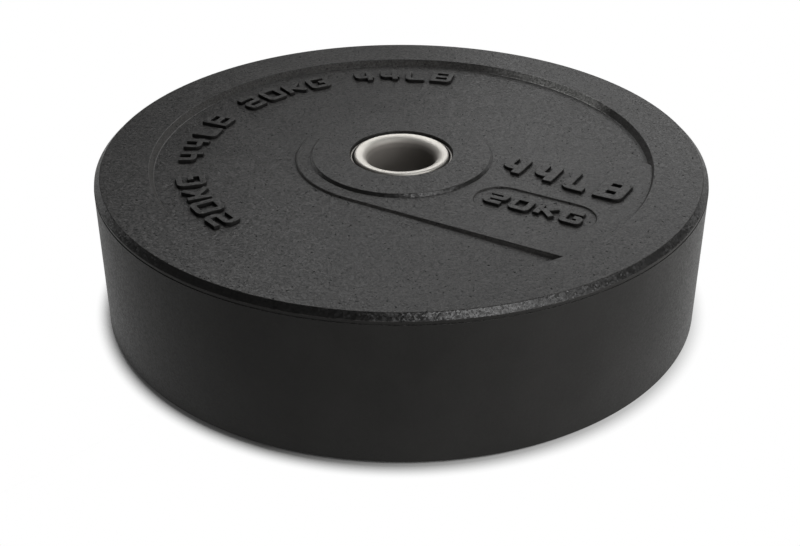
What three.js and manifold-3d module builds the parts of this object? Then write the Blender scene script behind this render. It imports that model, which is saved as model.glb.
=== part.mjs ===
// A 20 kg bumper plate of crumb rubber, moulded round a steel hub.
// Millimetres, +Z up. The plate lies flat: its lower rim face is z = 0 and its bore axis is Z.
// Pieces: the rubber body, the steel hub tube with its anchor flange inside the rubber, and two
// stainless bell-mouth liners that are pressed into the tube from either face.

import * as THREE from 'three';
import { mergeVertices } from 'three/addons/utils/BufferGeometryUtils.js';
import Module from 'manifold-3d';

const wasm = await Module();
wasm.setup();

// Driving dimensions

const plateRadius = 225;
const plateThickness = 115;

const edgeChamfer = 4.2;
const partingStep = 0.4;
const partingBelowChamfer = 2.4;

const rimInnerRadius = 185.5;
const rimWallRun = 3.2;
const fieldDepthAtRim = 5;
const fieldDepthAtBoss = 3.8;

const bossRadius = 66.3;
const bossWallRun = 3.3;

const tongueHalfWidth = 78;
const tongueDepth = 2.2;
const tongueWallHeight = 3.4;
const tongueWallRun = 2.4;
const tongueHeading = THREE.MathUtils.degToRad(-30);

const pillHalfStraight = 25;
const pillRadius = 20;
const pillAlong = 121;
const pillAcross = -26.4;
const pillFloorDrop = 1.1;
const pillWallRun = 0.6;

const boreRadius = 25.25;
const linerWall = 4;
const mouthRadius = 8;
const lipCurl = 2.1;
const lipBelowFace = 0.2;
const lipSkirt = 1.8;

const tubeWall = 3.4;
const cupWall = 1.2;
const cupGap = 1.3;
const cupBelowFace = 2.4;
const cupDepth = 4;

const flangeThickness = 5;
const flangeInnerWeb = 11.75;
const flangeOuterWeb = 9;
const keyHoleRadius = 11;
const keyHoleCount = 8;

const clearance = 0.3;
const mouldFlare = 0.4;
const overrun = 4;

const bodySegments = 120;
const steelSegments = 56;
const mouthSteps = 5;
const curlSteps = 3;
const holeSegments = 16;
const tongueSteps = 24;
const pillSteps = 8;

// Sizes worked out from the driving ones

const midPlane = plateThickness / 2;
const sideRadiusAboveParting = plateRadius - partingStep;
const crownRadius = boreRadius + mouthRadius;
const lipRadius = crownRadius + lipCurl;
const linerOuterRadius = boreRadius + linerWall;
const tubeBoreRadius = linerOuterRadius + clearance;
const tubeRadius = tubeBoreRadius + tubeWall;
const cupBoreRadius = lipRadius + cupGap;
const cupRadius = cupBoreRadius + cupWall;
const rubberBoreRadius = tubeRadius + clearance;
const rubberMouthRadius = cupRadius + clearance;
const flangeBoreRadius = tubeRadius + clearance;
const keyHoleCircleRadius = flangeBoreRadius + flangeInnerWeb + keyHoleRadius;
const flangeRadius = keyHoleCircleRadius + keyHoleRadius + flangeOuterWeb;
const tubeEnd = plateThickness - cupBelowFace;
const lipTop = plateThickness - lipBelowFace;

// Finishes

const rubberFinish = new THREE.MeshStandardMaterial({ color: 0x333232, roughness: 0.85, metalness: 0 });
const polishedSteel = new THREE.MeshStandardMaterial({ color: 0xd9d6d0, roughness: 0.2, metalness: 1 });
const plainSteel = new THREE.MeshStandardMaterial({ color: 0x8a8985, roughness: 0.5, metalness: 1 });

// Solids in and out of the boolean library

function toSolid(geometry) {
  const bare = geometry.index ? geometry.toNonIndexed() : geometry.clone();
  bare.deleteAttribute('normal');
  bare.deleteAttribute('uv');
  const merged = mergeVertices(bare);
  return new wasm.Manifold(new wasm.Mesh({
    numProp: 3,
    vertProperties: new Float32Array(merged.attributes.position.array),
    triVerts: new Uint32Array(merged.index.array),
  }));
}

function toGeometry(solid) {
  const mesh = solid.getMesh();
  const geometry = new THREE.BufferGeometry();
  geometry.setAttribute('position', new THREE.BufferAttribute(mesh.vertProperties, mesh.numProp));
  geometry.setIndex(new THREE.BufferAttribute(mesh.triVerts, 1));
  geometry.computeVertexNormals();
  return geometry;
}

// A solid of revolution about Z from [radius, height] points, given anticlockwise
function revolve(points, segments) {
  const profile = points.map(([radius, height]) => new THREE.Vector2(radius, height));
  const geometry = new THREE.LatheGeometry(profile, segments);
  geometry.rotateX(Math.PI / 2);
  return geometry;
}

// The same outline seen from the other face of the plate
function turnedOver(geometry) {
  const turned = geometry.clone();
  turned.translate(0, 0, -midPlane);
  turned.rotateX(Math.PI);
  turned.translate(0, 0, midPlane);
  return turned;
}

// Points along an arc from one angle to the other, both ends included
function arcPoints(centre, radius, fromAngle, toAngle, steps) {
  return Array.from({ length: steps + 1 }, (_, step) => {
    const angle = fromAngle + (toAngle - fromAngle) * step / steps;
    return [centre[0] + radius * Math.cos(angle), centre[1] + radius * Math.sin(angle)];
  });
}

// A block between two heights whose walls slope out from its drafted ends
function draftedBlock(shape, bottom, top, draftHeight, draftRun, steps) {
  const geometry = new THREE.ExtrudeGeometry(shape, {
    depth: top - bottom - 2 * draftHeight,
    bevelEnabled: true,
    bevelThickness: draftHeight,
    bevelSize: draftRun,
    bevelOffset: 0,
    bevelSegments: 1,
    curveSegments: steps,
  });
  geometry.translate(0, 0, bottom + draftHeight);
  return geometry;
}

// Rubber body

// The mould's turned form: rim, sunk field and hub boss on both faces, and the side wall, whose
// upper end carries the step where the mould parts
function turnedBody() {
  const top = plateThickness;
  const bossFootRadius = bossRadius + bossWallRun;
  const rimFootRadius = rimInnerRadius - rimWallRun;
  const faceRadiusAbove = sideRadiusAboveParting - edgeChamfer;
  const chamferFoot = top - edgeChamfer;
  const parting = chamferFoot - partingBelowChamfer;
  return revolve([
    [0, 0],
    [bossRadius, 0],
    [bossFootRadius, fieldDepthAtBoss],
    [rimFootRadius, fieldDepthAtRim],
    [rimInnerRadius, 0],
    [plateRadius - edgeChamfer, 0],
    [plateRadius, edgeChamfer],
    [plateRadius, parting - partingStep],
    [sideRadiusAboveParting, parting],
    [sideRadiusAboveParting, chamferFoot],
    [faceRadiusAbove, top],
    [rimInnerRadius, top],
    [rimFootRadius, top - fieldDepthAtRim],
    [bossFootRadius, top - fieldDepthAtBoss],
    [bossRadius, top],
    [0, top],
  ], bodySegments);
}

// The raised U that wraps the boss and runs out to the rim between two parallel edges
function tongue() {
  const reach = rimInnerRadius + overrun;
  const shape = new THREE.Shape();
  shape.moveTo(reach, -tongueHalfWidth);
  shape.lineTo(reach, tongueHalfWidth);
  shape.lineTo(0, tongueHalfWidth);
  shape.absarc(0, 0, tongueHalfWidth, Math.PI / 2, 3 * Math.PI / 2, false);
  shape.closePath();
  const top = plateThickness - tongueDepth;
  const bottom = top - 2 * tongueWallHeight - overrun;
  const geometry = draftedBlock(shape, bottom, top, tongueWallHeight, tongueWallRun, tongueSteps);
  geometry.rotateZ(tongueHeading);
  return geometry;
}

// The shallow long recess in the tongue that carries the weight mark
function pillRecess() {
  const footRadius = pillRadius - pillWallRun;
  const shape = new THREE.Shape();
  shape.moveTo(-pillHalfStraight, -footRadius);
  shape.lineTo(pillHalfStraight, -footRadius);
  shape.absarc(pillHalfStraight, 0, footRadius, -Math.PI / 2, Math.PI / 2, false);
  shape.lineTo(-pillHalfStraight, footRadius);
  shape.absarc(-pillHalfStraight, 0, footRadius, Math.PI / 2, 3 * Math.PI / 2, false);
  const floor = plateThickness - tongueDepth - pillFloorDrop;
  const top = plateThickness + overrun;
  const geometry = draftedBlock(shape, floor, top, pillFloorDrop, pillWallRun, pillSteps);
  geometry.translate(pillAlong, pillAcross, 0);
  geometry.rotateZ(tongueHeading);
  return geometry;
}

// The hole through the rubber that fits round the tube and its two cups, and flares at each face
function hubHole() {
  const top = plateThickness;
  const footDepth = cupBelowFace + cupDepth;
  const taper = rubberMouthRadius - rubberBoreRadius;
  return revolve([
    [0, -overrun],
    [rubberMouthRadius + mouldFlare, -overrun],
    [rubberMouthRadius + mouldFlare, 0],
    [rubberMouthRadius, cupBelowFace],
    [rubberMouthRadius, footDepth],
    [rubberBoreRadius, footDepth + taper],
    [rubberBoreRadius, top - footDepth - taper],
    [rubberMouthRadius, top - footDepth],
    [rubberMouthRadius, top - cupBelowFace],
    [rubberMouthRadius + mouldFlare, top],
    [rubberMouthRadius + mouldFlare, top + overrun],
    [0, top + overrun],
  ], steelSegments);
}

// The anchor flange, grown by the clearance where the rubber closes round it: its holes shrink,
// so the rubber in them keys the two faces of the plate together
function flangePlate(grow, centreHoleRadius) {
  const halfThickness = flangeThickness / 2 + grow;
  const outline = [
    [centreHoleRadius, midPlane - halfThickness],
    [flangeRadius + grow, midPlane - halfThickness],
    [flangeRadius + grow, midPlane + halfThickness],
    [centreHoleRadius, midPlane + halfThickness],
  ];
  let solid = toSolid(revolve([...outline, outline[0]], steelSegments));
  const holeRadius = keyHoleRadius - grow;
  const holeLength = flangeThickness + 2 * overrun;
  for (let index = 0; index < keyHoleCount; index += 1) {
    const hole = new THREE.CylinderGeometry(holeRadius, holeRadius, holeLength, holeSegments);
    hole.rotateX(Math.PI / 2);
    hole.translate(keyHoleCircleRadius, 0, midPlane);
    hole.rotateZ(2 * Math.PI * index / keyHoleCount);
    solid = solid.subtract(toSolid(hole));
  }
  return solid;
}

function rubberBody() {
  let solid = toSolid(turnedBody());
  for (const place of [(geometry) => geometry, turnedOver]) {
    solid = solid.add(toSolid(place(tongue())));
    solid = solid.subtract(toSolid(place(pillRecess())));
  }
  solid = solid.subtract(toSolid(hubHole()));
  solid = solid.subtract(flangePlate(clearance, boreRadius));
  return toGeometry(solid);
}

// Steel hub

// The tube that the rubber is moulded round, with its ends opened into cups for the liners' lips
function hubTube() {
  const cupFoot = tubeEnd - cupDepth;
  const lowerEnd = plateThickness - tubeEnd;
  const lowerCupFoot = plateThickness - cupFoot;
  const outerTaper = cupRadius - tubeRadius;
  const innerTaper = cupBoreRadius - tubeBoreRadius;
  return revolve([
    [cupBoreRadius, lowerEnd],
    [cupRadius, lowerEnd],
    [cupRadius, lowerCupFoot],
    [tubeRadius, lowerCupFoot + outerTaper],
    [tubeRadius, cupFoot - outerTaper],
    [cupRadius, cupFoot],
    [cupRadius, tubeEnd],
    [cupBoreRadius, tubeEnd],
    [cupBoreRadius, cupFoot],
    [tubeBoreRadius, cupFoot - innerTaper],
    [tubeBoreRadius, lowerCupFoot + innerTaper],
    [cupBoreRadius, lowerCupFoot],
    [cupBoreRadius, lowerEnd],
  ], steelSegments);
}

// A stainless liner for half of the bore: it opens into a bell mouth, then curls over and down
// into the tube's cup
function bellMouthLiner() {
  const innerEnd = midPlane + clearance / 2;
  const crownCentre = lipTop - mouthRadius;
  const curlCentre = lipTop - lipCurl;
  const skirtFoot = curlCentre - lipSkirt;
  const mouth = arcPoints([crownRadius, crownCentre], mouthRadius, Math.PI, Math.PI / 2, mouthSteps);
  const curl = arcPoints([crownRadius, curlCentre], lipCurl, Math.PI / 2, 0, curlSteps).slice(1);
  const outline = [
    [boreRadius, innerEnd],
    ...mouth,
    ...curl,
    [lipRadius, skirtFoot],
    [linerOuterRadius, skirtFoot - (lipRadius - linerOuterRadius)],
    [linerOuterRadius, innerEnd],
    [boreRadius, innerEnd],
  ];
  return revolve(outline.reverse(), steelSegments);
}

// The assembly

function piece(name, geometry, material) {
  const mesh = new THREE.Mesh(geometry, material);
  mesh.name = name;
  return mesh;
}

const bumperPlate = new THREE.Group();
bumperPlate.add(
  piece('rubber_body', rubberBody(), rubberFinish),
  piece('hub_tube', hubTube(), plainSteel),
  piece('anchor_flange', toGeometry(flangePlate(0, flangeBoreRadius)), plainSteel),
  piece('upper_liner', bellMouthLiner(), polishedSteel),
  piece('lower_liner', turnedOver(bellMouthLiner()), polishedSteel),
);

export default bumperPlate;
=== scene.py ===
"""A 20 kg bumper plate of crumb rubber with a stainless bore, lying on a pale studio floor.

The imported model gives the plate's size and the places of its pieces. Each class below holds the
sizes of one of them in millimetres, makes its moulded or turned mesh and dresses it.
"""

import logging
import math
from collections.abc import Callable, Iterable, Sequence
from dataclasses import dataclass, field
from enum import Enum
from functools import cache, partial

import bmesh
import bpy
from mathutils import Matrix, Vector, noise


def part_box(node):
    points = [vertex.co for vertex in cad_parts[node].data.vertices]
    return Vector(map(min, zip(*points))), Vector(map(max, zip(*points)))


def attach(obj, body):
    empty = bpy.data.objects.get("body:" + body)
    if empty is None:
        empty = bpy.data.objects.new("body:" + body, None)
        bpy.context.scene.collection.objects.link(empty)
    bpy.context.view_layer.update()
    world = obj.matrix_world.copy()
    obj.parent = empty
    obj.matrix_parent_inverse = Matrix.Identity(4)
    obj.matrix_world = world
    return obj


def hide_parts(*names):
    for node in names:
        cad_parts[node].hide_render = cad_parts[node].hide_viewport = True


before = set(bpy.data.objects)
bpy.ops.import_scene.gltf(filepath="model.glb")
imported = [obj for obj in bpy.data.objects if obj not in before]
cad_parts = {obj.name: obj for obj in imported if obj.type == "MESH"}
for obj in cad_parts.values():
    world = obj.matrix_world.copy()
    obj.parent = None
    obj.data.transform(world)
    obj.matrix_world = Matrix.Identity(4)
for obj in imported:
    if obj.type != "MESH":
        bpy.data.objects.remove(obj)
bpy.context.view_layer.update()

MM = 0.001
SHARP_EDGE = math.radians(32)
LONGEST_ROUNDING_SHARE = 0.45
LARGEST_FACE_WEIGHT = 100
MEAN_TONE = 0.5

Point = tuple[float, float]
Span = tuple[float, float]
Ring = list[Vector]
Path = Sequence[tuple[Vector, Vector]]
Node = bpy.types.Node
NodeSource = bpy.types.Node | bpy.types.NodeSocket
AddNode = Callable[..., bpy.types.Node]

log = logging.getLogger("bumper_plate")


class Slot(Enum):
    """The record's material slots."""

    CRUMB_RUBBER = "crumb_rubber"
    STAINLESS_STEEL = "stainless_steel"
    PLAIN_STEEL = "plain_steel"


class Join(Enum):
    """What a boolean does with the second solid."""

    ADD = "UNION"
    CUT = "DIFFERENCE"


class Face(Enum):
    """The two faces of the plate, which carry the same relief."""

    UPPER = "upper"
    LOWER = "lower"


def linear(colour: str) -> tuple[float, float, float, float]:
    """Turns an sRGB hex colour such as "#3A3938" into linear light.

    Args:
        colour: six hex digits after a hash sign.

    Returns:
        Red, green, blue and an alpha of one.
    """
    shares = [int(colour[start:start + 2], 16) / 255 for start in (1, 3, 5)]
    levels = [s / 12.92 if s <= 0.04045 else ((s + 0.055) / 1.055) ** 2.4 for s in shares]
    return (*levels, 1.0)


def add_node(tree: bpy.types.NodeTree, kind: str, *inputs: object, **settings: object) -> Node:
    """Adds one shader node with its settings and links.

    Args:
        tree: the node tree of a material or of the world.
        kind: the node's type name, without its common first word.
        inputs: what the node's inputs get, in their order: a value, another node's output, or a
            node, which stands for its first output in use. A dictionary gives inputs by name.
        settings: the node's own properties.

    Returns:
        The new node.
    """
    node = tree.nodes.new("ShaderNode" + kind)
    for name, value in settings.items():
        setattr(node, name, value)
    wanted: dict = {}
    for index, given in enumerate(inputs):
        wanted.update(given if isinstance(given, dict) else {index: given})
    for key, value in wanted.items():
        if isinstance(value, bpy.types.Node):
            value = next(output for output in value.outputs if output.enabled)
        if isinstance(value, bpy.types.NodeSocket):
            tree.links.new(value, node.inputs[key])
        else:
            node.inputs[key].default_value = value
    return node


def new_material(name: str) -> tuple[bpy.types.Material, AddNode]:
    """Makes an empty node material.

    Args:
        name: the material's name.

    Returns:
        The material, and the function that adds a node to it.
    """
    material = bpy.data.materials.new(name)
    material.use_nodes = True
    material.node_tree.nodes.clear()
    return material, partial(add_node, material.node_tree)


def round_axis(add: AddNode, place: NodeSource) -> tuple[Node, Node, Node]:
    """Sets a place against the bore's axis.

    Args:
        add: adds a node to the material.
        place: the position on the object.

    Returns:
        The position's three parts, its level part and its distance from the axis.
    """
    parts = add("SeparateXYZ", place)
    level = add("CombineXYZ", parts.outputs["X"], parts.outputs["Y"])
    return parts, level, add("VectorMath", level, operation="LENGTH")


def put_in_scene(name: str, data: bpy.types.ID) -> bpy.types.Object:
    """Makes an object and links it to the scene.

    Args:
        name: the object's name.
        data: its mesh, lamp or camera.

    Returns:
        The object, at the origin.
    """
    thing = bpy.data.objects.new(name, data)
    bpy.context.scene.collection.objects.link(thing)
    return thing


def turn_over(thickness: float) -> Matrix:
    """Gives the move that turns a plate of that thickness on to its other face."""
    return Matrix.Translation((0, 0, thickness)) @ Matrix.Rotation(math.pi, 4, "X")


def level_way(angle: float) -> Vector:
    """Gives the level way at an angle, of length one."""
    return Vector((math.cos(angle), math.sin(angle)))


@dataclass(frozen=True)
class Corner:
    """A corner of an outline, and the radius that rounds it, in millimetres."""

    across: float
    up: float
    radius: float = 0.0


def upside_down(corners: Sequence[Corner], thickness: float) -> list[Corner]:
    """Gives a face's corners again for the plate's other face, in the order that joins them on."""
    return [Corner(c.across, thickness - c.up, c.radius) for c in reversed(corners)]


def rounded(corners: Sequence[Corner], steps: int, closed: bool = True) -> list[Point]:
    """Rounds the corners of an outline with arcs.

    Args:
        corners: the outline's corners in order.
        steps: how many chords make each arc.
        closed: whether the last corner leads back to the first.

    Returns:
        The outline's points, as many for any outline with the same radii set.
    """
    points: list[Point] = []
    for index, corner in enumerate(corners):
        here = Vector((corner.across, corner.up))
        at_end = not closed and index in (0, len(corners) - 1)
        if corner.radius == 0 or at_end:
            points.append(here.to_tuple())
            continue
        before, after = corners[index - 1], corners[(index + 1) % len(corners)]
        back = Vector((before.across, before.up)) - here
        ahead = Vector((after.across, after.up)) - here
        half = back.angle(ahead) / 2
        room = min(back.length, ahead.length) * LONGEST_ROUNDING_SHARE
        cut = min(corner.radius / math.tan(half), room)
        radius = cut * math.tan(half)
        inward = (back.normalized() + ahead.normalized()).normalized()
        centre = here + inward * radius / math.sin(half)
        first = here + back.normalized() * cut - centre
        last = here + ahead.normalized() * cut - centre
        sweep = first.angle(last)
        for step in range(steps + 1):
            share = step / steps
            spoke = first * math.sin((1 - share) * sweep) + last * math.sin(share * sweep)
            points.append((centre + spoke / math.sin(sweep)).to_tuple())
    return points


class Solid:
    """A closed mesh in millimetres that becomes a Blender object in metres."""

    def __init__(self, rings: Sequence[Ring] = (), capped: bool = False) -> None:
        """Skins a row of rings of points, in order. Without rings it starts empty.

        Args:
            rings: rings with as many points each, every one a closed loop.
            capped: close the first and last ring with a face, or else join the last to the first.
        """
        self.mesh = bmesh.new()
        made = [[self.mesh.verts.new(point) for point in ring] for ring in rings]
        pairs = list(zip(made, made[1:]))
        if capped:
            self.mesh.faces.new(made[0][::-1])
            self.mesh.faces.new(made[-1])
        elif made:
            pairs.append((made[-1], made[0]))
        for lower, upper in pairs:
            for index in range(len(lower)):
                ahead = (index + 1) % len(lower)
                self.mesh.faces.new((lower[index], lower[ahead], upper[ahead], upper[index]))

    def add_solid(self, other: "Solid", place: Matrix) -> None:
        """Puts a copy of another solid beside this one's faces, which it doesn't meet.

        Args:
            other: the solid that is copied.
            place: the move that takes the copy to its place.
        """
        made = {vert: self.mesh.verts.new(place @ vert.co) for vert in other.mesh.verts}
        for face in other.mesh.faces:
            self.mesh.faces.new([made[vert] for vert in face.verts])

    def combine(self, other: "Solid", join: Join) -> "Solid":
        """Adds another solid to this one or cuts it away.

        Args:
            other: the second solid.
            join: whether it is added or cut.

        Returns:
            A new solid.
        """
        bodies = [solid.to_object("scratch", scale=1.0) for solid in (self, other)]
        step = bodies[0].modifiers.new("join", "BOOLEAN")
        step.operation = join.value
        step.solver = "MANIFOLD"
        step.object = bodies[1]
        bpy.context.view_layer.update()
        graph = bpy.context.evaluated_depsgraph_get()
        result = Solid()
        result.mesh.from_object(bodies[0], graph)
        for body in bodies:
            data = body.data
            bpy.data.objects.remove(body)
            bpy.data.meshes.remove(data)
        return result

    def to_object(self, name: str, scale: float = MM) -> bpy.types.Object:
        """Makes the Blender object, with its faces pointing out.

        Args:
            name: the object's name.
            scale: metres to one of the solid's units.

        Returns:
            The object, at the origin and linked to the scene.
        """
        bmesh.ops.recalc_face_normals(self.mesh, faces=self.mesh.faces)
        self.mesh.normal_update()
        many_sided = [face for face in self.mesh.faces if len(face.verts) > 4]
        bmesh.ops.triangulate(self.mesh, faces=many_sided)
        data = bpy.data.meshes.new(name)
        self.mesh.to_mesh(data)
        data.transform(Matrix.Scale(scale, 4))
        return put_in_scene(name, data)


def turned(outline: Sequence[Point], segments: int,
           flash: Callable[[Point, float], float] | None = None) -> Solid:
    """Turns a closed outline round the bore's axis.

    Args:
        outline: points of radius and height.
        segments: how many chords make a full turn.
        flash: moves a point's radius at an angle, for an edge that isn't quite round.

    Returns:
        The ring-shaped solid.
    """
    rings = []
    for index in range(segments):
        angle = 2 * math.pi * index / segments
        ring = []
        for radius, height in outline:
            reach = radius + (flash((radius, height), angle) if flash else 0.0)
            ring.append(Vector((reach * math.cos(angle), reach * math.sin(angle), height)))
        rings.append(ring)
    return Solid(rings)


def disc(radius: float, bottom: float, top: float, segments: int) -> Solid:
    """Makes a plain upright disc, used only to cut other solids.

    Args:
        radius: the disc's radius.
        bottom: the height of its lower face.
        top: the height of its upper face.
        segments: how many chords make its edge.

    Returns:
        The disc.
    """
    angles = [2 * math.pi * index / segments for index in range(segments)]
    rings = [
        [Vector((radius * math.cos(angle), radius * math.sin(angle), height)) for angle in angles]
        for height in (bottom, top)]
    return Solid(rings, capped=True)


def dress(thing: bpy.types.Object, material: bpy.types.Material, slot: Slot, replaced: str) -> None:
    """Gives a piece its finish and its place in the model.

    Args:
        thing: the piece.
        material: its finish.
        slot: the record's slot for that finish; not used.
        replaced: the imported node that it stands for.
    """
    data = thing.data
    data.materials.clear()
    data.materials.append(material)
    data.shade_smooth()
    data.set_sharp_from_angle(angle=SHARP_EDGE)
    weigh = thing.modifiers.new("even_shading", "WEIGHTED_NORMAL")
    weigh.keep_sharp = True
    weigh.weight = LARGEST_FACE_WEIGHT
    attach(thing, "root")
    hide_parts(replaced)
    log.info("%s: %d faces, finish %s", thing.name, len(data.polygons), material.name)


@dataclass(frozen=True)
class Mottle:
    """An uneven pattern in a surface: its size, its finer layers and how strong they are."""

    size_mm: float
    layers: float
    strength: float = 0.5

    def inputs(self, place: NodeSource) -> dict:
        """Gives what the node that draws it at its real size takes in."""
        return {"Vector": place, "Scale": 1 / (self.size_mm * MM),
                "Detail": self.layers, "Roughness": self.strength}


@dataclass(frozen=True)
class RubberMaps:
    """The rubber's patterns, and maps that are one where a look shows and nothing elsewhere."""

    grains: Node
    tones: Node
    grit: Node
    leather: Node
    cloud: Node
    off_side: Node
    relief: Node
    slope: Node
    chamfer: Node
    in_pit: Node
    polish_out_of_shade: Node
    patch: Node


@dataclass(frozen=True)
class CrumbRubber:
    """Vulcanised crumb of black tyre rubber, pressed in a steel mould.

    The mould closes the faces to a dull dark grey, in which the grains show as fine specks and a
    small pit is left here and there, painted near black as painted shade, and it presses the
    upright side smooth. On the chamfers and the boss's edge the crumb stays open and sparkles, and
    its colour is darkened as painted shade. The inner walls are duller, and their colour is
    lightened as painted light; one stretch of the rim's inner wall is painted paler still, as more
    painted light. In the corners the rubber is rougher, and its colour is darkened to near black as
    painted shade.
    """

    dark_grain: str = "#0B0B0A"
    pale_grain: str = "#3B3A39"
    # The pits' near-black colour is painted shade in the holes.
    pit: str = "#0E0E0E"
    # The paler grains of one stretch of the rim's inner wall: painted light.
    lit_patch_dark_grain: str = "#6E6E6C"
    lit_patch_grain: str = "#A6A6A4"
    grain_mm: float = 1.1
    # Real rubber dust is under 0.1 mm, too fine to show, so the grit is drawn coarser.
    grit: Mottle = Mottle(0.5, 2.0, 0.6)
    pits: Mottle = Mottle(2.4, 1.0)
    leather: Mottle = Mottle(3.2, 2.0)
    cloud: Mottle = Mottle(55.0, 3.0, 0.55)
    cloud_span: Span = (0.3, 0.7)
    cloud_levels: Span = (0.8, 1.2)
    pit_edge: Span = (0.69, 0.72)
    relief_mm: float = 0.09
    # The heights are in shares of relief_mm.
    dome_height: float = -0.6
    grit_height: float = 0.7
    leather_height: float = 2.0
    pit_height: float = -1.2
    roughness: Span = (0.3, 0.5)
    pit_roughness: float = 0.9
    specular: float = 0.18
    face_tilt: float = 0.15
    # The side, the slopes and the chamfers are told by how flat they lie: 0 upright, 1 level.
    side_span: Span = (0.05, 0.3)
    side_relief_share: float = 0.3
    slope_from: Span = (0.2, 0.4)
    slope_to: Span = (0.93, 0.985)
    # The inner walls' colour is lightened as painted light.
    slope_painted_light: float = 1.85
    slope_grain_share: float = 0.35
    # On the slopes the painted corner shade and the corner roughness are mostly held off.
    slope_least_out_of_shade: float = 0.9
    slope_roughness: float = 0.62
    chamfer_from: Span = (0.6, 0.65)
    chamfer_to: Span = (0.76, 0.86)
    # The chamfers' colour is darkened as painted shade.
    chamfer_painted_shade: float = 0.42
    chamfer_roughness: float = 0.31
    chamfer_specular: float = 0.66
    chamfer_relief_share: float = 0.1
    chamfer_tilt: float = 0.2
    # In the corners the rubber is rougher and its colour is darkened as painted shade.
    corner_reach_mm: float = 8.0
    corner_span: Span = (0.55, 0.86)
    corner_samples: int = 8
    corner_painted_shade: float = 0.3
    corner_roughness: float = 0.85
    # Where the painted light patch lies on the rim's inner wall.
    patch_start_degrees: float = 28.0
    patch_full_degrees: float = 22.0
    patch_gone_degrees: float = 42.0
    patch_start_span: Span = (-0.02, 0.1)
    patch_ragged: float = 0.06
    patch_radii_mm: Span = (176.0, 192.0)
    patch_edge_mm: float = 1.0
    patch_tilt: float = 0.28

    def material(self) -> bpy.types.Material:
        """Builds the node material."""
        material, add = new_material("moulded_crumb_rubber")
        maps = self.maps(add)
        colour = self.colour(add, maps)
        normal = self.normal(add, maps)
        gloss = zip(self.roughnesses(add, maps), (self.specular, self.chamfer_specular))
        closed_face, open_crumb = [
            add("BsdfPrincipled", {"Base Color": colour, "Roughness": roughness,
                                   "Specular IOR Level": specular, "Normal": normal})
            for roughness, specular in gloss]
        add("OutputMaterial", add("MixShader", maps.chamfer, closed_face, open_crumb))
        return material

    def maps(self, add: AddNode) -> RubberMaps:
        """Draws the patterns and finds the side, the slopes, the pits, the corners and the patch.

        Args:
            add: adds a node to the material.

        Returns:
            All the maps.
        """
        place = add("TexCoord").outputs["Object"]
        grains = add("TexVoronoi", {"Vector": place, "Scale": 1 / (self.grain_mm * MM)})
        grit, pits, leather, cloud = [
            add("TexNoise", mottle.inputs(place))
            for mottle in (self.grit, self.pits, self.leather, self.cloud)]
        normal = add("SeparateXYZ", add("NewGeometry").outputs["Normal"])
        flat = add("Math", normal.outputs["Z"], operation="ABSOLUTE")
        off_side = add("MapRange", flat, *self.side_span)
        slope = self.leaning(add, flat, self.slope_from, self.slope_to)
        in_hole = add("MapRange", pits, *self.pit_edge)
        return RubberMaps(
            grains=grains,
            tones=add("SeparateColor", grains.outputs["Color"]),
            grit=grit,
            leather=leather,
            cloud=cloud,
            off_side=off_side,
            relief=add("MapRange", off_side, 0, 1, self.side_relief_share, 1),
            slope=slope,
            chamfer=self.leaning(add, flat, self.chamfer_from, self.chamfer_to),
            in_pit=add("Math", in_hole, off_side, operation="MULTIPLY"),
            polish_out_of_shade=self.corner_shade_and_polish(add, slope),
            patch=self.painted_light_patch(add, place, slope, grit),
        )

    def colour(self, add: AddNode, maps: RubberMaps) -> Node:
        """Colours the grains, paints shade into the pits, the chamfers and the corners, and paints
        light on the other slopes and the patch.

        Args:
            add: adds a node to the material.
            maps: where each of them shows.

        Returns:
            The colour.
        """
        grainy = add("MapRange", maps.slope, 0, 1, maps.off_side, self.slope_grain_share)
        speck = add("MapRange", grainy, 0, 1, MEAN_TONE, maps.tones.outputs["Red"])
        cloudy = add("MapRange", maps.cloud, *self.cloud_span, *self.cloud_levels)
        tone = add("Math", speck, cloudy, operation="MULTIPLY")
        rubber, crumb = [
            add("Mix", {"Factor": factor, "A": linear(dark), "B": linear(pale)}, data_type="RGBA")
            for factor, dark, pale in (
                (tone, self.dark_grain, self.pale_grain),
                (maps.tones.outputs["Red"], self.lit_patch_dark_grain, self.lit_patch_grain))]
        # The pits' near-black is painted shade.
        pitted = add("Mix", {"Factor": maps.in_pit, "A": rubber, "B": linear(self.pit)},
                     data_type="RGBA")
        # Painted shade: the colour is darkened in the corners.
        by_corner = add("MapRange", maps.polish_out_of_shade, 0, 1, self.corner_painted_shade)
        # Painted light on the inner walls and painted shade on the chamfers.
        light = add("MapRange", maps.chamfer, 0, 1, self.slope_painted_light, self.chamfer_painted_shade)
        by_slope = add("MapRange", maps.slope, 0, 1, 1, light)
        shade = add("Math", by_corner, by_slope, operation="MULTIPLY")
        pressed = add("VectorMath", pitted, {"Scale": shade}, operation="SCALE")
        # The paler patch on the rim's inner wall is painted light.
        return add("Mix", {"Factor": maps.patch, "A": pressed, "B": crumb}, data_type="RGBA")

    def roughnesses(self, add: AddNode, maps: RubberMaps) -> tuple[Node, Node]:
        """Gives how rough the closed faces and the open chamfers are.

        Args:
            add: adds a node to the material.
            maps: where the pits, the corners and the slopes are.

        Returns:
            The roughness of the faces and of the chamfers.
        """
        pressed = add("MapRange", maps.tones.outputs["Green"], 0, 1, *self.roughness)
        pitted = add("MapRange", maps.in_pit, 0, 1, pressed, self.pit_roughness)
        level = add("MapRange", maps.polish_out_of_shade, 0, 1, self.corner_roughness, pitted)
        closed = add("MapRange", maps.slope, 0, 1, level, self.slope_roughness)
        opened = add("MapRange", maps.polish_out_of_shade, 0, 1, self.corner_roughness, self.chamfer_roughness)
        return closed, opened

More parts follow.
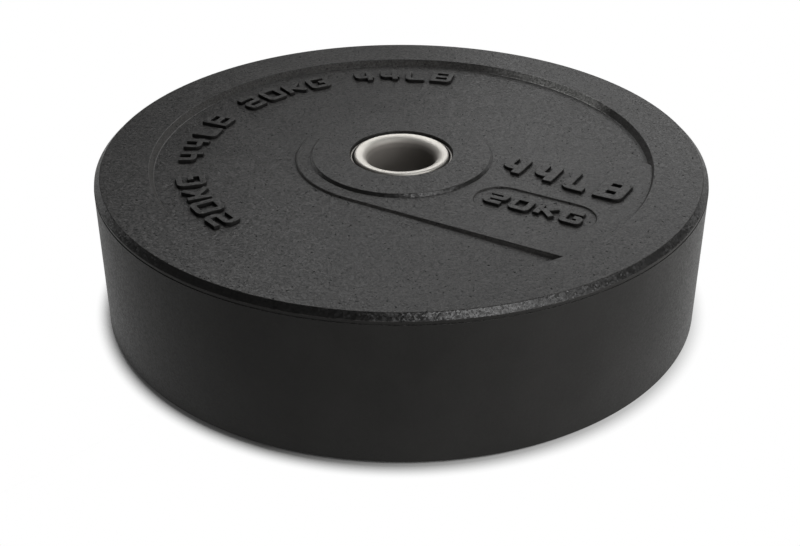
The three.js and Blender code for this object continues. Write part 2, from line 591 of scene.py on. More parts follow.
    def normal(self, add: AddNode, maps: RubberMaps) -> Node:
        """Raises the grit and the creases, sinks the pits and tilts each grain its own way.

        Args:
            add: adds a node to the material.
            maps: the patterns and where they show.

        Returns:
            The normal.
        """
        height = add("Math", maps.grains.outputs["Distance"], self.dome_height,
                     operation="MULTIPLY")
        for pattern, rise in ((maps.grit, self.grit_height), (maps.leather, self.leather_height),
                              (maps.in_pit, self.pit_height)):
            height = add("Math", pattern, rise, height, operation="MULTIPLY_ADD")
        strength = add("MapRange", maps.chamfer, 0, 1, maps.relief, self.chamfer_relief_share)
        bump = add("Bump", {
            "Height": height, "Distance": self.relief_mm * MM, "Strength": strength})
        tilt = add("Math", maps.relief, self.face_tilt, operation="MULTIPLY")
        for share, most in ((maps.chamfer, self.chamfer_tilt), (maps.patch, self.patch_tilt)):
            tilt = add("MapRange", share, 0, 1, tilt, most)
        lean = add("VectorMath", maps.grains.outputs["Color"], (MEAN_TONE,) * 3,
                   operation="SUBTRACT")
        facet = add("VectorMath", lean, {"Scale": tilt}, operation="SCALE")
        tilted = add("VectorMath", bump, facet, operation="ADD")
        return add("VectorMath", tilted, operation="NORMALIZE")

    def leaning(self, add: AddNode, flat: Node, start: Span, end: Span) -> Node:
        """Gives one on faces that lean between two bounds, and nothing on steeper and flatter ones.

        Args:
            add: adds a node to the material.
            flat: one on level faces and nothing on upright ones.
            start: where the share begins to rise and where it is one.
            end: where it begins to fall and where it is gone.

        Returns:
            The share.
        """
        rising = add("MapRange", flat, *start)
        falling = add("MapRange", flat, *end, 1, 0)
        return add("Math", rising, falling, operation="MULTIPLY")

    def corner_shade_and_polish(self, add: AddNode, slope: Node) -> Node:
        """Gives one in the open and less towards the inside of a corner, where the rubber is
        rougher and its colour is darkened as painted shade.

        Args:
            add: adds a node to the material.
            slope: one on the mould's slopes, which never get as dull or as much painted shade as a
                corner.

        Returns:
            The share.
        """
        clear = add("AmbientOcclusion", {"Distance": self.corner_reach_mm * MM},
                    only_local=True, samples=self.corner_samples)
        reached = add("MapRange", clear.outputs["AO"], *self.corner_span)
        least = add("Math", slope, self.slope_least_out_of_shade, operation="MULTIPLY")
        return add("Math", reached, least, operation="MAXIMUM")

    def painted_light_patch(self, add: AddNode, place: NodeSource, slope: Node, grit: Node) -> Node:
        """Gives one on the stretch of the rim's inner wall that is painted paler, as painted light.

        Args:
            add: adds a node to the material.
            place: the position on the object.
            slope: one on the mould's slopes.
            grit: a fine pattern that makes the stretch's ends ragged.

        Returns:
            The share of paler crumb, painted light, whose grains also tilt more.
        """
        _, level, reach = round_axis(add, place)
        way = add("VectorMath", level, operation="NORMALIZE")
        start = level_way(math.radians(self.patch_start_degrees))
        ahead, beside = [add("VectorMath", way, (*line, 0), operation="DOT_PRODUCT")
                         for line in (start, start.orthogonal())]
        ragged = add("Math", grit, self.patch_ragged, beside, operation="MULTIPLY_ADD")
        full, gone = [math.sin(math.radians(turn))
                      for turn in (self.patch_full_degrees, self.patch_gone_degrees)]
        shares = [
            add("MapRange", ragged, *self.patch_start_span),
            add("MapRange", ragged, full, gone, 1, 0),
            add("Math", ahead, 0, operation="GREATER_THAN"),
            slope,
        ]
        for radius, low, high in zip(self.patch_radii_mm, (0, 1), (1, 0)):
            edge = [(radius + side * self.patch_edge_mm) * MM for side in (-1, 1)]
            shares.append(add("MapRange", reach, *edge, low, high))
        share = shares[0]
        for other in shares[1:]:
            share = add("Math", share, other, operation="MULTIPLY")
        return share


def finish_metal(add: AddNode, colour: Node, roughness: Node, relief: Node,
                 relief_mm: float) -> None:
    """Ends a bare metal's material.

    Args:
        add: adds a node to the material.
        colour: the metal's colour.
        roughness: how dull it is.
        relief: the pattern of its tool marks.
        relief_mm: how deep they are.
    """
    bump = add("Bump", {"Height": relief, "Distance": relief_mm * MM, "Strength": 1})
    shader = add("BsdfPrincipled", {
        "Base Color": colour, "Metallic": 1, "Roughness": roughness, "Normal": bump})
    add("OutputMaterial", shader)


@dataclass(frozen=True)
class PolishedStainless:
    """Turned stainless steel: the lip buffed bright, the bore below dull and darkened as painted
    shade.
    """

    lip_heights: Span
    colour: str = "#CCC9C3"
    # The bore's colour deeper in, darkened as painted shade.
    bore_painted_shade_colour: str = "#9C9893"
    buffed_mm: float = 1.3
    fading_mm: float = 3.4
    # Real turning marks are about 0.05 mm apart, too fine to show, so they are drawn coarser.
    rings: Mottle = Mottle(0.25, 2.0)
    relief_mm: float = 0.002
    smear: Mottle = Mottle(9.0, 2.0)
    roughness: Span = (0.5, 0.58)
    dull_roughness: float = 0.85

    def material(self) -> bpy.types.Material:
        """Builds the node material."""
        material, add = new_material("polished_stainless_steel")
        place = add("TexCoord").outputs["Object"]
        parts, _, reach = round_axis(add, place)
        section = add("CombineXYZ", reach, {"Z": parts.outputs["Z"]})
        rings = add("TexNoise", self.rings.inputs(section))
        smear = add("TexNoise", self.smear.inputs(place))
        buffed = add("MapRange", smear, 0, 1, *self.roughness)
        below = [add("Math", parts.outputs["Z"], height, operation="SUBTRACT")
                 for height in self.lip_heights]
        nearest = add("Math", *[add("Math", way, operation="ABSOLUTE") for way in below],
                      operation="MINIMUM")
        # One deeper in the bore, where the steel is rougher and its colour is darkened as painted
        # shade.
        dull = add("MapRange", nearest, self.buffed_mm * MM, (self.buffed_mm + self.fading_mm) * MM)
        colour = add("Mix", {
            "Factor": dull, "A": linear(self.colour), "B": linear(self.bore_painted_shade_colour)},
            data_type="RGBA")
        roughness = add("MapRange", dull, 0, 1, buffed, self.dull_roughness)
        finish_metal(add, colour, roughness, rings, self.relief_mm)
        return material


@dataclass(frozen=True)
class DullSteel:
    """Cut and turned mild steel with a zinc wash: grey, faintly blotched and not bright."""

    colour: str = "#8E8C88"
    stain: str = "#6A6762"
    blotch: Mottle = Mottle(6.0, 4.0, 0.6)
    # Real tool scratches are finer than shows, so they are drawn coarser.
    scratch: Mottle = Mottle(0.35, 2.0)
    relief_mm: float = 0.006
    roughness: Span = (0.35, 0.6)

    def material(self) -> bpy.types.Material:
        """Builds the node material."""
        material, add = new_material("zinc_washed_steel")
        place = add("TexCoord").outputs["Object"]
        blotch, scratch = [add("TexNoise", mottle.inputs(place))
                           for mottle in (self.blotch, self.scratch)]
        colour = add("Mix", {"Factor": blotch, "A": linear(self.stain), "B": linear(self.colour)},
                     data_type="RGBA")
        roughness = add("MapRange", blotch, 0, 1, *self.roughness)
        finish_metal(add, colour, roughness, scratch, self.relief_mm)
        return material


@dataclass(frozen=True)
class Stroke:
    """One bar of a raised figure: its middle line in shares of the figure's width and height.

    The first few corners can be left square.
    """

    line_shares: tuple[Point, ...]
    closed: bool = False
    square_corners: int = 0


FIGURES: dict[str, tuple[Stroke, ...]] = {
    "0": (Stroke(((0, 0), (1, 0), (1, 1), (0, 1)), closed=True),),
    "2": (Stroke(((0, 1), (1, 1), (1, 0.5), (0, 0.5), (0, 0), (1, 0))),),
    "4": (Stroke(((0, 1), (0, 0.38), (1, 0.38))), Stroke(((0.74, 1), (0.74, 0)))),
    "K": (Stroke(((0, 0), (0, 1))), Stroke(((0, 0.5), (0.42, 0.5))),
          Stroke(((1, 1), (0.36, 0.5), (1, 0)))),
    "G": (Stroke(((1, 1), (0, 1), (0, 0), (1, 0), (1, 0.5), (0.55, 0.5))),),
    "L": (Stroke(((0, 1), (0, 0), (1, 0))),),
    "B": (Stroke(((0, 1), (0, 0), (1, 0), (1, 1)), closed=True, square_corners=2),
          Stroke(((0, 0.5), (1, 0.5)))),
}


@dataclass(frozen=True)
class FigureStyle:
    """How large and how bold the raised figures of one mark are, in millimetres."""

    height: float
    width: float
    stroke: float
    gap: float
    corner_radius: float
    rise: float
    edge_radius: float = 0.3
    draft: float = 0.15
    sink: float = 1.2
    corner_steps: int = 4
    edge_steps: int = 3

    def length(self, text: str) -> float:
        """Gives the length of a line of figures."""
        return len(text) * (self.width + self.gap) - self.gap

    def levels(self) -> list[Point]:
        """Gives the bar's section as outward offset and height over the face it stands on."""
        start = self.rise - self.edge_radius
        points = [(self.draft, -self.sink), (0.0, start)]
        for step in range(1, self.edge_steps + 1):
            angle = math.pi / 2 * step / self.edge_steps
            points.append((self.edge_radius * (math.cos(angle) - 1),
                           start + self.edge_radius * math.sin(angle)))
        return points

    def bar(self, stroke: Stroke) -> Solid:
        """Makes one bar of a figure.

        Args:
            stroke: the bar's middle line.

        Returns:
            The bar, lying on z = 0 with the figure's corner at the origin.
        """
        half = self.stroke / 2
        span = (self.width - self.stroke, self.height - self.stroke)
        corners = [
            Corner(half + x * span[0], half + y * span[1],
                   0.0 if index < stroke.square_corners else self.corner_radius)
            for index, (x, y) in enumerate(stroke.line_shares)
        ]
        line = [Vector(point) for point in rounded(corners, self.corner_steps, stroke.closed)]
        levels = [(*self.sides(line, stroke.closed, offset), height)
                  for offset, height in self.levels()]
        if stroke.closed:
            rings = [[Vector((*right[index], height)) for _, right, height in levels]
                     + [Vector((*left[index], height)) for left, _, height in reversed(levels)]
                     for index in range(len(line))]
        else:
            rings = [[Vector((*point, height)) for point in right + left[::-1]]
                     for left, right, height in levels]
        return Solid(rings, capped=not stroke.closed)

    def sides(self, line: Sequence[Vector], closed: bool,
              offset: float) -> tuple[list[Vector], list[Vector]]:
        """Offsets a middle line to both sides with mitred corners.

        Args:
            line: the middle line.
            closed: whether it runs back to its start.
            offset: how far the bar's side stands out past its half width.

        Returns:
            The left-hand and the right-hand line.
        """
        reach = self.stroke / 2 + offset
        left, right = [], []
        for index, point in enumerate(line):
            ahead = line[(index + 1) % len(line)] - point
            behind = point - line[index - 1]
            if not closed and index == 0:
                behind = ahead
                point = point - ahead.normalized() * offset
            if not closed and index == len(line) - 1:
                ahead = behind
                point = point + behind.normalized() * offset
            normals = [Vector((-way.y, way.x)).normalized() for way in (behind, ahead)]
            mitre = (normals[0] + normals[1]).normalized()
            across = mitre * reach / mitre.dot(normals[0])
            left.append(point + across)
            right.append(point - across)
        return left, right

    @cache
    def figure(self, name: str) -> Solid:
        """Makes one raised figure out of its bars, the first time that it is asked for.

        Args:
            name: the figure or letter.

        Returns:
            The figure as one solid.
        """
        bars = [self.bar(stroke) for stroke in FIGURES[name]]
        solid = bars[0]
        for bar in bars[1:]:
            solid = solid.combine(bar, Join.ADD)
        return solid

    def line(self, text: str) -> Iterable[tuple[Solid, float]]:
        """Sets out a line of figures.

        Args:
            text: the figures in order.

        Returns:
            Each figure, and its start along the line from the line's middle.
        """
        start = -self.length(text) / 2
        for name in text:
            yield self.figure(name), start
            start += self.width + self.gap


@dataclass
class FaceRelief:
    """The tongue, the recess in it and the raised figures on one face, in millimetres."""

    rim_inner_radius: float
    field_depth: Callable[[float], float]
    heading_degrees: float = -30.0
    half_width: float = 78.0
    depth: float = 2.2
    wall_height: float = 3.4
    wall_run: float = 2.4
    edge_radius: float = 1.2
    foot_radius: float = 1.3
    foot_dip: float = 0.26
    flat_radii: float = 3.0
    wall_steps: int = 4
    overlap: float = 4.0
    hub_clear_radius: float = 55.0
    path_step: float = 4.0
    pill_half_straight: float = 25.0
    pill_radius: float = 20.0
    pill_along: float = 121.0
    pill_across: float = -26.4
    pill_drop: float = 1.1
    pill_wall_run: float = 0.6
    pill_edge_radius: float = 0.3
    pill_lift: float = 0.06
    pill_turn_steps: int = 24
    pill_wall_steps: int = 3
    pill_text: str = "20KG"
    arc_text: tuple[str, ...] = ("20KG", "44LB", "20KG", "44LB")
    arc_radius: float = 146.0
    arc_from_degrees: float = 222.0
    arc_to_degrees: float = 74.0
    large_text: str = "44LB"
    large_along: float = 121.5
    large_across: float = 24.0
    arc_style: FigureStyle = FigureStyle(
        height=21.0, width=17.6, stroke=4.2, gap=4.2, corner_radius=2.4, rise=2.5)
    pill_style: FigureStyle = FigureStyle(
        height=17.6, width=16.0, stroke=4.4, gap=3.2, corner_radius=2.2, rise=2.0)
    large_style: FigureStyle = FigureStyle(
        height=30.0, width=20.6, stroke=6.8, gap=4.4, corner_radius=3.4, rise=2.1)

    def skirt(self, path: Path, section: Callable[[Vector], Sequence[Point]]) -> Solid:
        """Skins a section that follows a closed path.

        Args:
            path: points of the path and their outward ways, in order.
            section: gives the outward offset and the height of the section's points at a place.

        Returns:
            The capped solid.
        """
        sections = [[Vector((*(point + way * offset), height)) for offset, height in section(point)]
                    for point, way in path]
        return Solid([list(ring) for ring in zip(*sections)], capped=True)

    def tongue(self) -> Solid:
        """Makes the raised U, whose walls run out softly into the field."""
        reach = self.rim_inner_radius + self.overlap
        count = math.ceil(reach / self.path_step)
        run = [reach * index / count for index in range(count)]
        turns = math.ceil(math.pi * self.half_width / self.path_step)
        angles = [math.pi / 2 + math.pi * index / turns for index in range(turns + 1)]
        path = [(Vector((reach, self.half_width)), Vector((1, 1)))]
        path += [(Vector((x, self.half_width)), Vector((0, 1))) for x in run[:0:-1]]
        path += [(level_way(angle) * self.half_width, level_way(angle)) for angle in angles]
        path += [(Vector((x, -self.half_width)), Vector((0, -1))) for x in run[1:]]
        path += [(Vector((reach, -self.half_width)), Vector((1, -1)))]
        clear = disc(self.hub_clear_radius, -2 * self.overlap, self.overlap, len(angles))
        return self.skirt(path, self.tongue_section).combine(clear, Join.CUT)

    def tongue_section(self, point: Vector) -> list[Point]:
        """Gives the section of the tongue's edge at a place.

        Args:
            point: the place on the edge, from the bore's axis.

        Returns:
            Outward offsets and heights, from under the field up to the flat top.
        """
        drop = self.field_depth(point.length + self.wall_run) - self.depth
        foot = drop * self.wall_run / self.wall_height
        out = foot + 2 * self.foot_radius
        corners = [
            Corner(out, -drop - self.overlap / 2),
            Corner(out, -drop - self.foot_dip),
            Corner(foot, -drop, self.foot_radius),
            Corner(0, 0, self.edge_radius),
            Corner(-self.flat_radii * self.edge_radius, 0),
        ]
        return rounded(corners, self.wall_steps, closed=False)

    def pill(self) -> Solid:
        """Makes the cutter of the long recess, with its rounded edge."""
        foot = self.pill_radius - self.pill_wall_run
        path = []
        for side in (1, -1):
            for index in range(self.pill_turn_steps + 1):
                way = level_way(-side * math.pi / 2 + math.pi * index / self.pill_turn_steps)
                path.append((Vector((side * self.pill_half_straight, 0)) + way * foot, way))
        edge = self.pill_edge_radius
        flat = self.flat_radii * edge
        corners = [
            Corner(-flat, -self.pill_drop),
            Corner(0, -self.pill_drop, edge),
            Corner(self.pill_wall_run, 0, edge),
            Corner(self.pill_wall_run + flat, self.pill_lift),
            Corner(self.pill_wall_run + flat, self.overlap),
        ]
        section = rounded(corners, self.pill_wall_steps, closed=False)
        return self.skirt(path, lambda point: section)

    def figures(self, top: float) -> Solid:
        """Makes all the raised figures of the face, in place.

        Args:
            top: the height of the rim's face.

        Returns:
            One solid of separate figures.
        """
        solid = Solid()
        tongue = Matrix.Rotation(math.radians(self.heading_degrees), 4, "Z")
        tongue_top = top - self.depth
        for text, style, along, across, level in (
            (self.pill_text, self.pill_style, self.pill_along, self.pill_across,
             tongue_top - self.pill_drop),
            (self.large_text, self.large_style, self.large_along, self.large_across, tongue_top),
        ):
            for figure, start in style.line(text):
                place = Matrix.Translation((along + start, across - style.height / 2, level))
                solid.add_solid(figure, tongue @ place)
        style = self.arc_style
        middle_radius = self.arc_radius + style.height / 2
        lengths = [style.length(text) for text in self.arc_text]
        span = math.radians(self.arc_from_degrees - self.arc_to_degrees) * middle_radius
        space = (span - sum(lengths)) / (len(lengths) - 1)
        level = top - self.field_depth(middle_radius)
        begin = 0.0
        for text, length in zip(self.arc_text, lengths):
            for figure, start in style.line(text):
                middle = begin + length / 2 + start + style.width / 2
                angle = math.radians(self.arc_from_degrees) - middle / middle_radius
                spin = Matrix.Rotation(angle - math.pi / 2, 4, "Z")
                place = Matrix.Translation((-style.width / 2, self.arc_radius, level))
                solid.add_solid(figure, spin @ place)
            begin += length + space
        return solid


@dataclass
class RubberBody:
    """The moulded rubber, in millimetres: rim, field, hub boss and both faces' relief."""

    radius: float
    thickness: float
    chamfer: float = 4.2
    parting_step: float = 0.4
    parting_drop: float = 2.4
    groove_depth: float = 0.12
    groove_height: float = 0.6
    rim_inner_radius: float = 185.5
    rim_wall_run: float = 3.2
    field_depth_at_rim: float = 5.0
    field_depth_at_boss: float = 3.8
    boss_radius: float = 66.3
    boss_wall_run: float = 3.3
    bore_radius: float = 33.25
    mouth_radius: float = 38.15
    mouth_flare: float = 0.4
    cup_top: float = 2.4
    cup_foot: float = 6.4
    flange_radius: float = 76.3
    flange_half_thickness: float = 2.8
    flange_bite: float = 2.0
    taper_radius: float = 1.0
    cup_foot_radius: float = 0.5
    mouth_edge_radius: float = 0.35
    ledge_radius: float = 0.15
    groove_radius: float = 0.1
    groove_lip_radius: float = 0.2
    edge_radius: float = 0.9
    foot_radius: float = 1.3
    boss_edge_radius: float = 1.0
    rim_foot_radius: float = 1.0
    rim_edge_radius: float = 0.6
    flash_mm: float = 0.14
    flash_length_mm: float = 5.0
    segments: int = 480
    corner_steps: int = 5
    relief: FaceRelief = field(init=False)

    def __post_init__(self) -> None:
        """Makes the relief that both faces carry."""
        self.relief = FaceRelief(self.rim_inner_radius, self.field_depth)

    def field_depth(self, radius: float) -> float:
        """Gives how deep the field lies under the rim.

        Args:
            radius: the distance from the bore's axis.

        Returns:
            The depth there.
        """
        inner = self.boss_radius + self.boss_wall_run
        outer = self.rim_inner_radius - self.rim_wall_run
        share = min(max((radius - inner) / (outer - inner), 0.0), 1.0)
        fall = self.field_depth_at_rim - self.field_depth_at_boss
        return self.field_depth_at_boss + share * fall

    def face_corners(self) -> list[Corner]:
        """Gives one face's corners from the bore out to the rim, as radius and depth."""
        taper = self.mouth_radius - self.bore_radius
        boss_foot = self.boss_radius + self.boss_wall_run
        rim_foot = self.rim_inner_radius - self.rim_wall_run
        return [
            Corner(self.bore_radius, self.cup_foot + taper, self.taper_radius),
            Corner(self.mouth_radius, self.cup_foot, self.cup_foot_radius),
            Corner(self.mouth_radius, self.cup_top),
            Corner(self.mouth_radius + self.mouth_flare, 0, self.mouth_edge_radius),
            Corner(self.boss_radius, 0, self.boss_edge_radius),
            Corner(boss_foot, self.field_depth_at_boss, self.foot_radius),
            Corner(rim_foot, self.field_depth_at_rim, self.rim_foot_radius),
            Corner(self.rim_inner_radius, 0, self.rim_edge_radius),
        ]

    def outline(self) -> list[Point]:
        """Gives the turned section, anticlockwise from the bore's lower side."""
        upper_radius = self.radius - self.parting_step
        parting = self.thickness - self.chamfer - self.parting_drop
        groove = upper_radius - self.groove_depth
        side = [
            Corner(self.radius - self.chamfer, 0, self.edge_radius),
            Corner(self.radius, self.chamfer, self.edge_radius),
            Corner(self.radius, parting - self.groove_depth, self.ledge_radius),
            Corner(groove, parting, self.groove_radius),
            Corner(groove, parting + self.groove_height / 2, self.groove_radius),
            Corner(upper_radius, parting + self.groove_height, self.groove_lip_radius),
            Corner(upper_radius, self.thickness - self.chamfer, self.edge_radius),
            Corner(upper_radius - self.chamfer, self.thickness, self.edge_radius),
        ]
        lower = self.face_corners()
        return rounded(lower + side + upside_down(lower, self.thickness), self.corner_steps)

    def flash(self, point: Point, angle: float) -> float:
        """Moves the parting ledge in and out a little, as the mould's flash leaves it.

        Args:
            point: the radius and height of a point of the section.
            angle: where round the plate it is.

        Returns:
            How far the point moves out.
        """
        parting = self.thickness - self.chamfer - self.parting_drop
        near = abs(point[1] - parting) < self.groove_height
        if not near or point[0] < self.radius - 2 * self.parting_step:
            return 0.0
        way = Vector((math.cos(angle), math.sin(angle), 0)) * self.radius / self.flash_length_mm
        return self.flash_mm * (noise.noise(way) - 1) / 2

    def flange_hollow(self) -> Solid:
        """Makes the space that the anchor flange fills inside the rubber."""
        inner, outer = self.bore_radius - self.flange_bite, self.flange_radius
        bottom, top = [self.thickness / 2 + side * self.flange_half_thickness for side in (-1, 1)]
        corners = [(inner, bottom), (outer, bottom), (outer, top), (inner, top)]
        return turned(corners, self.segments // 4)

    def build(self) -> bpy.types.Object:
        """Makes the rubber body's object."""
        solid = turned(self.outline(), self.segments, self.flash)
        heading = Matrix.Rotation(math.radians(self.relief.heading_degrees), 4, "Z")
        lift = Matrix.Translation((0, 0, self.thickness - self.relief.depth))
        pill_place = Matrix.Translation((self.relief.pill_along, self.relief.pill_across, 0))
        figures = self.relief.figures(self.thickness)
        for part, place, join in (
            (self.relief.tongue(), heading @ lift, Join.ADD),
            (self.relief.pill(), heading @ lift @ pill_place, Join.CUT),
            (figures, Matrix(), Join.ADD),
        ):
            both = Solid()
            both.add_solid(part, place)
            both.add_solid(part, turn_over(self.thickness) @ place)
            solid = solid.combine(both, join)
        solid = solid.combine(self.flange_hollow(), Join.CUT)
        return solid.to_object("moulded_rubber_body")


@dataclass
class SteelHub:
    """The tube and flange that the rubber is moulded round, in millimetres."""

    thickness: float
    bore_radius: float = 29.55
    radius: float = 32.95
    cup_bore_radius: float = 36.65
    cup_radius: float = 37.85
    cup_top: float = 2.4
    cup_depth: float = 4.0
    edge_radius: float = 0.25
    cup_foot_radius: float = 0.4
    taper_radius: float = 0.8
    corner_steps: int = 4
    flange_bore_radius: float = 33.25
    flange_radius: float = 76.0
    flange_thickness: float = 5.0
    hole_radius: float = 11.0
    hole_circle_radius: float = 56.0
    hole_count: int = 8
    flange_corner_steps: int = 3
    segments: int = 240

    def tube(self) -> bpy.types.Object:
        """Makes the tube, with its ends opened into cups for the liners' lips."""
        foot = self.cup_top + self.cup_depth
        outer_taper = self.cup_radius - self.radius
        inner_taper = self.cup_bore_radius - self.bore_radius
        half = [
            Corner(self.bore_radius, foot + inner_taper, self.taper_radius),
            Corner(self.cup_bore_radius, foot, self.cup_foot_radius),
            Corner(self.cup_bore_radius, self.cup_top, self.edge_radius),
            Corner(self.cup_radius, self.cup_top, self.edge_radius),
            Corner(self.cup_radius, foot, self.cup_foot_radius),
            Corner(self.radius, foot + outer_taper, self.taper_radius),
        ]
        outline = rounded(half + upside_down(half, self.thickness), self.corner_steps)
        return turned(outline, self.segments).to_object("steel_hub_tube")

    def flange(self) -> bpy.types.Object:
        """Makes the flange, with the holes that key the rubber's two faces together."""
        middle = self.thickness / 2
        half = self.flange_thickness / 2
        inner, outer = self.flange_bore_radius, self.flange_radius
        corners = [Corner(radius, middle + side * half, self.edge_radius)
                   for radius, side in ((inner, -1), (outer, -1), (outer, 1), (inner, 1))]
        solid = turned(rounded(corners, self.flange_corner_steps), self.segments // 2)
        drills = Solid()
        drill = disc(self.hole_radius, middle - 2 * half, middle + 2 * half, self.segments // 6)
        for index in range(self.hole_count):
            spin = Matrix.Rotation(2 * math.pi * index / self.hole_count, 4, "Z")
            drills.add_solid(drill, spin @ Matrix.Translation((self.hole_circle_radius, 0, 0)))
        return solid.combine(drills, Join.CUT).to_object("steel_anchor_flange")


@dataclass
class BoreLiner:
    """One of the bore's two polished bushes, in millimetres: a bell mouth with a curled lip."""

    face: Face
    thickness: float
    bore_radius: float = 25.25
    wall: float = 4.0
    mouth_radius: float = 8.0
    curl_radius: float = 2.1
    below_face: float = 0.2
    skirt: float = 1.8
    joint_gap: float = 0.3
    mouth_steps: int = 24
    curl_steps: int = 10
    segments: int = 240

    def outline(self) -> list[Point]:
        """Gives the turned section of the upper liner."""
        top = self.thickness - self.below_face
        crown = self.bore_radius + self.mouth_radius
        lip = crown + self.curl_radius
        inner_end = self.thickness / 2 + self.joint_gap / 2
        skirt_foot = top - self.curl_radius - self.skirt
        outer = self.bore_radius + self.wall
        points = [(self.bore_radius, inner_end)]
        mouth = [math.pi * (1 - step / self.mouth_steps / 2)
                 for step in range(self.mouth_steps + 1)]
        curl = [math.pi / 2 * (1 - step / self.curl_steps)
                for step in range(1, self.curl_steps + 1)]
        for radius, angles in ((self.mouth_radius, mouth), (self.curl_radius, curl)):
            points += [(crown + radius * math.cos(angle), top - radius * (1 - math.sin(angle)))
                       for angle in angles]
        points += [(lip, skirt_foot), (outer, skirt_foot - (lip - outer)), (outer, inner_end)]
        return points

    def build(self) -> bpy.types.Object:
        """Makes the liner's object on its face of the plate."""
        solid = turned(self.outline(), self.segments)
        placed = Solid()
        placed.add_solid(solid, turn_over(self.thickness) if self.face is Face.LOWER else Matrix())
        return placed.to_object(f"polished_liner_{self.face.value}")


@dataclass(frozen=True)
class Softbox:
    """A square white studio lamp: where it stands from the plate, and how strong it is."""

    name: str
    azimuth_degrees: float
    elevation_degrees: float
    distance: float
    size: float
    power: float

    def hang(self, target: Vector) -> None:
        """Hangs the lamp so that it faces the target.

        Args:
            target: the plate's top. Azimuth 0 is towards the viewer from it, and 90 to the right.
        """
        azimuth = math.radians(self.azimuth_degrees)
        elevation = math.radians(self.elevation_degrees)
        way = Vector((
            math.sin(azimuth) * math.cos(elevation),
            -math.cos(azimuth) * math.cos(elevation),
            math.sin(elevation),
        ))
        data = bpy.data.lights.new(self.name, "AREA")
        data.shape = "SQUARE"
        data.size = self.size
        data.energy = self.power
        lamp = put_in_scene(self.name, data)
        lamp.location = target + way * self.distance
        lamp.rotation_euler = way.to_track_quat("Z", "Y").to_euler()


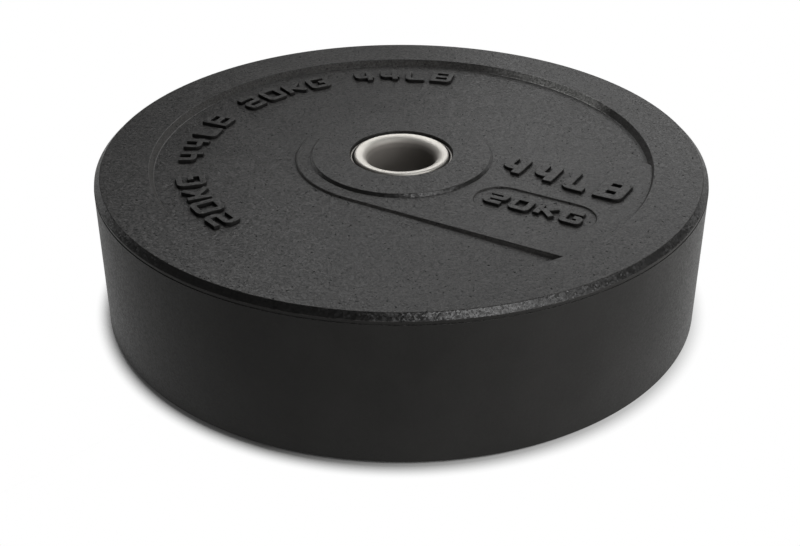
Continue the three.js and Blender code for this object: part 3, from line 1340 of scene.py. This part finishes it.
@dataclass
class Studio:
    """The pale floor, the lamps, the surround and the camera at the photograph's angle."""

    plate_radius: float
    plate_top: float
    floor_size: float = 60.0
    floor_white: float = 1.0
    floor_bounce: str = "#E2E2E0"
    floor_in_shade: str = "#8A8A88"
    contact_inset: Span = (0.006, 0.003)
    contact_reach: float = 0.0125
    contact_samples: int = 12
    contact_span: Span = (0.45, 0.96)
    contact_dark_share: float = 0.4
    contact_dark_side: float = 0.04
    contact_lit_side: float = 0.58
    mirrored_reach: float = 0.3
    mirrored_near: float = 0.52
    mirrored_far: float = 0.12
    fill_level: float = 0.032
    world_white: str = "#FFFFFF"
    sweep_level: float = 0.8
    room_level: float = 0.024
    sweep_span: Span = (0.06, 0.3)
    camera_place: tuple[float, float, float] = (-0.00097, -0.88322, 0.53871)
    camera_down_degrees: float = 30.874
    lens_mm: float = 59.04
    sensor_mm: float = 36.0
    lamps: tuple[Softbox, ...] = (
        Softbox("key_softbox_right_front", 36.0, 53.0, 1.8, 0.45, 4.8),
        Softbox("low_softbox_right", 55.0, 15.0, 1.8, 0.7, 11.8),
        Softbox("low_softbox_far_right", 75.0, 15.0, 1.8, 0.7, 1.6),
        Softbox("softbox_right", 55.0, 35.0, 1.8, 0.7, 2.2),
        Softbox("softbox_front", 15.0, 42.0, 1.8, 0.7, 1.1),
        Softbox("bank_back_left", 200.0, 50.0, 1.0, 0.5, 2.5),
        Softbox("high_bank_back", 180.0, 50.0, 1.0, 0.5, 0.6),
        Softbox("low_bank_back", 180.0, 30.0, 1.0, 0.5, 0.4),
        Softbox("low_bank_back_right", 160.0, 30.0, 1.0, 0.5, 1.4),
        Softbox("low_bank_far_right", 140.0, 30.0, 1.0, 0.5, 0.8),
    )

    def white_seen(self, add: AddNode, mirrored: Node) -> Node:
        """Gives how white the background is for a ray: nothing for the light itself.

        Args:
            add: adds a node to the floor's material or the world.
            mirrored: how white a reflection sees it.

        Returns:
            One where the camera or glass looks, and the mirrored share for a reflection.
        """
        rays = add("LightPath").outputs
        clear = add("Math", rays["Is Camera Ray"], rays["Is Transmission Ray"],
                    operation="MAXIMUM")
        glossy = add("Math", rays["Is Glossy Ray"], mirrored, operation="MULTIPLY")
        return add("Math", clear, glossy, operation="MAXIMUM")

    def floor(self) -> None:
        """Lays the floor: white where it is seen, with the plate's soft contact shadow painted in.
        """
        material, add = new_material("pale_floor")
        place = add("TexCoord").outputs["Object"]
        reach = add("VectorMath", place, operation="LENGTH")
        radius = self.plate_radius
        outside = add("MapRange", reach, *[radius - inset for inset in self.contact_inset])
        # Painted shadow: the white is lowered near the plate by how closed in it is, and more on
        # the left.
        open_sky = add("AmbientOcclusion", {"Distance": self.contact_reach},
                       samples=self.contact_samples)
        right = add("SeparateXYZ", place).outputs["X"]
        contact = add("MapRange", right, -radius * self.contact_dark_share, radius,
                      self.contact_dark_side, self.contact_lit_side)
        shadow = add("MapRange", open_sky.outputs["AO"], *self.contact_span, contact)
        lift = add("Math", shadow, outside, operation="MULTIPLY")
        mirrored = add("MapRange", reach, radius, radius + self.mirrored_reach,
                       self.mirrored_near, self.mirrored_far)
        seen = add("Math", lift, self.white_seen(add, mirrored), operation="MULTIPLY")
        # For the camera the matt near and under the plate is a darker grey: painted shade.
        tone = add("Mix", {
            "Factor": add("LightPath").outputs["Is Camera Ray"], "A": linear(self.floor_bounce),
            "B": linear(self.floor_in_shade)}, data_type="RGBA")
        matt = add("BsdfDiffuse", {"Color": tone})
        white = add("Emission", {"Strength": self.floor_white})
        add("OutputMaterial", add("MixShader", seen, matt, white))
        half = self.floor_size / 2
        data = bpy.data.meshes.new("studio_floor")
        corners = [(-half, -half, 0), (half, -half, 0), (half, half, 0), (-half, half, 0)]
        data.from_pydata(corners, [], [(0, 1, 2, 3)])
        data.materials.append(material)
        put_in_scene("studio_floor", data)

    def surround(self) -> None:
        """Makes the world: white where it is seen, and a low even fill for the light."""
        world = bpy.data.worlds.new("studio_surround")
        bpy.context.scene.world = world
        world.use_nodes = True
        world.node_tree.nodes.clear()
        add = partial(add_node, world.node_tree)
        way = add("SeparateXYZ", add("TexCoord").outputs["Generated"])
        sweep = add("MapRange", way.outputs["Z"], *self.sweep_span,
                    self.sweep_level, self.room_level, interpolation_type="SMOOTHSTEP")
        level = add("Math", self.white_seen(add, sweep), self.fill_level, operation="MAXIMUM")
        light = add("Background", {"Color": linear(self.world_white), "Strength": level})
        add("OutputWorld", light)

    def camera(self) -> None:
        """Sets the camera where the photograph was taken from."""
        data = bpy.data.cameras.new("photograph_camera")
        data.lens = self.lens_mm
        data.sensor_width = self.sensor_mm
        thing = put_in_scene("photograph_camera", data)
        thing.location = self.camera_place
        thing.rotation_euler = (math.radians(90 - self.camera_down_degrees), 0, 0)
        bpy.context.scene.camera = thing

    def build(self) -> None:
        """Makes the whole studio."""
        self.camera()
        self.floor()
        self.surround()
        for lamp in self.lamps:
            lamp.hang(Vector((0, 0, self.plate_top)))
        view = bpy.context.scene.view_settings
        view.view_transform = "Standard"
        log.info("studio: %d lamps, camera at %s", len(self.lamps), self.camera_place)


def main() -> None:
    """Builds the plate's pieces in order, dresses them and sets the studio round them."""
    logging.basicConfig(level=logging.INFO, format="%(name)s: %(message)s")
    low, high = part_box("rubber_body")
    radius = (high.x - low.x) / 2 / MM
    thickness = (high.z - low.z) / MM
    Studio(plate_radius=radius * MM, plate_top=high.z).build()
    rubber = CrumbRubber().material()
    stainless = PolishedStainless(lip_heights=(low.z, high.z)).material()
    dull_steel = DullSteel().material()
    hub = SteelHub(thickness)
    dress(RubberBody(radius, thickness).build(), rubber, Slot.CRUMB_RUBBER, "rubber_body")
    dress(hub.tube(), dull_steel, Slot.PLAIN_STEEL, "hub_tube")
    dress(hub.flange(), dull_steel, Slot.PLAIN_STEEL, "anchor_flange")
    for face in Face:
        liner = BoreLiner(face, thickness).build()
        dress(liner, stainless, Slot.STAINLESS_STEEL, f"{face.value}_liner")


if __name__ == "__main__":
    main()
